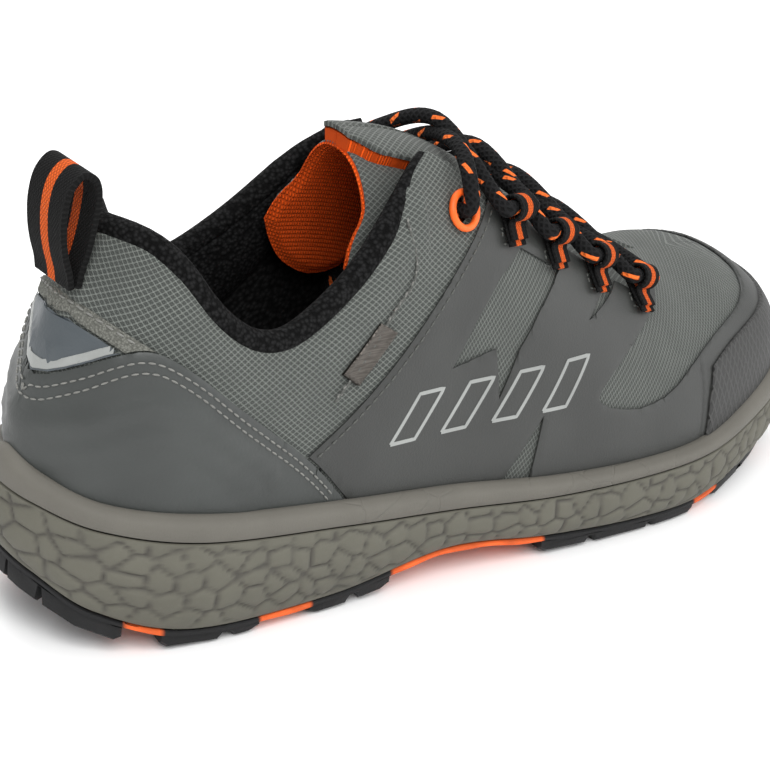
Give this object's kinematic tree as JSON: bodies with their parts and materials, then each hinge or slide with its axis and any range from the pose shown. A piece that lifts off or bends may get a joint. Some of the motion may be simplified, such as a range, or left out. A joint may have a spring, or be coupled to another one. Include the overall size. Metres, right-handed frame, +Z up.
{
  "type": "trail walking shoe",
  "caption": "Low-cut laced trail walking shoe for the right foot with a lugged sole, padded collar, mesh upper, moulded heel counter and a heel pull loop.",
  "frame": {"origin": "middle of the bounding box, at the height of the ground the lugs stand on", "axes": "+X from heel to toe, +Y from the outer (lateral) side to the inner (medial) side, +Z up"},
  "size_m": [0.3022, 0.104, 0.1284],
  "materials": {
    "midsole_foam": "matt moulded foam",
    "outsole_rubber": "matt",
    "lug_rubber": "matt",
    "insole_board": "matt",
    "sockliner": "matt",
    "lining_fabric": "matt",
    "stiffener": "matt",
    "upper_mesh": "woven, matt",
    "overlay_film": "satin",
    "bumper_rubber": "matt ribbed",
    "counter_shell": "satin moulded",
    "badge": "satin",
    "trim_tape": "woven",
    "plaque_metal": "brushed",
    "collar_fabric": "knit, matt",
    "tongue_mesh": "knit, matt",
    "tongue_knit": "ribbed knit",
    "label": "matt",
    "webbing": "woven",
    "eyelet_ring": "gloss",
    "lace_cord": "braided",
    "aglet": "gloss"
  },
  "bodies": {
    "shoe": {"midsole_lower": "midsole_foam", "midsole_rim": "midsole_foam", "outsole_sheet": "outsole_rubber", "lugs_heel_rear": "lug_rubber", "lugs_heel_lateral": "lug_rubber", "lugs_heel_front_lateral": "lug_rubber", "lugs_heel_medial": "lug_rubber", "lugs_heel_front_medial": "lug_rubber", "lugs_ball_lateral": "lug_rubber", "lugs_ball_medial": "lug_rubber", "lugs_toe_lateral": "lug_rubber", "lugs_toe_medial": "lug_rubber", "lugs_toe_tip": "lug_rubber", "lugs_heel_centre": "lug_rubber", "lugs_ball_centre": "lug_rubber", "insole_board": "insole_board", "sockliner": "sockliner", "bootie_lining": "lining_fabric", "heel_stiffener": "stiffener", "toe_puff": "stiffener", "quarter_mesh_lateral": "upper_mesh", "quarter_mesh_medial": "upper_mesh", "vamp_mesh": "upper_mesh", "film_lateral": "overlay_film", "film_medial": "overlay_film", "toe_cap": "overlay_film", "toe_bumper": "bumper_rubber", "heel_counter": "counter_shell", "heel_badge": "badge", "heel_trim": "trim_tape", "side_plaque": "plaque_metal", "collar_padding": "collar_fabric", "lace_loop_lateral_1": "webbing", "lace_loop_lateral_2": "webbing", "lace_loop_lateral_3": "webbing", "lace_loop_lateral_4": "webbing", "lace_loop_medial_1": "webbing", "lace_loop_medial_2": "webbing", "lace_loop_medial_3": "webbing", "lace_loop_medial_4": "webbing", "eyelet_ring_lateral": "eyelet_ring", "eyelet_ring_medial": "eyelet_ring", "lace": "lace_cord", "aglet_medial": "aglet", "aglet_lateral": "aglet"},
    "pull_loop": {"pull_loop": "webbing"},
    "tongue": {"tongue_mesh": "tongue_mesh", "tongue_lining": "tongue_knit", "tongue_label": "label"}
  },
  "joints": [
    {"name": "pull_loop_fold", "type": "hinge", "parent": "shoe", "child": "pull_loop", "pos_m": [-0.1389, -0.0044, 0.096], "axis": [0, -1, 0], "range_deg": [0, 40]},
    {"name": "tongue_hinge", "type": "hinge", "parent": "shoe", "child": "tongue", "pos_m": [0.064, 0, 0.062], "axis": [0, -1, 0], "range_deg": [0, 8]}
  ]
}
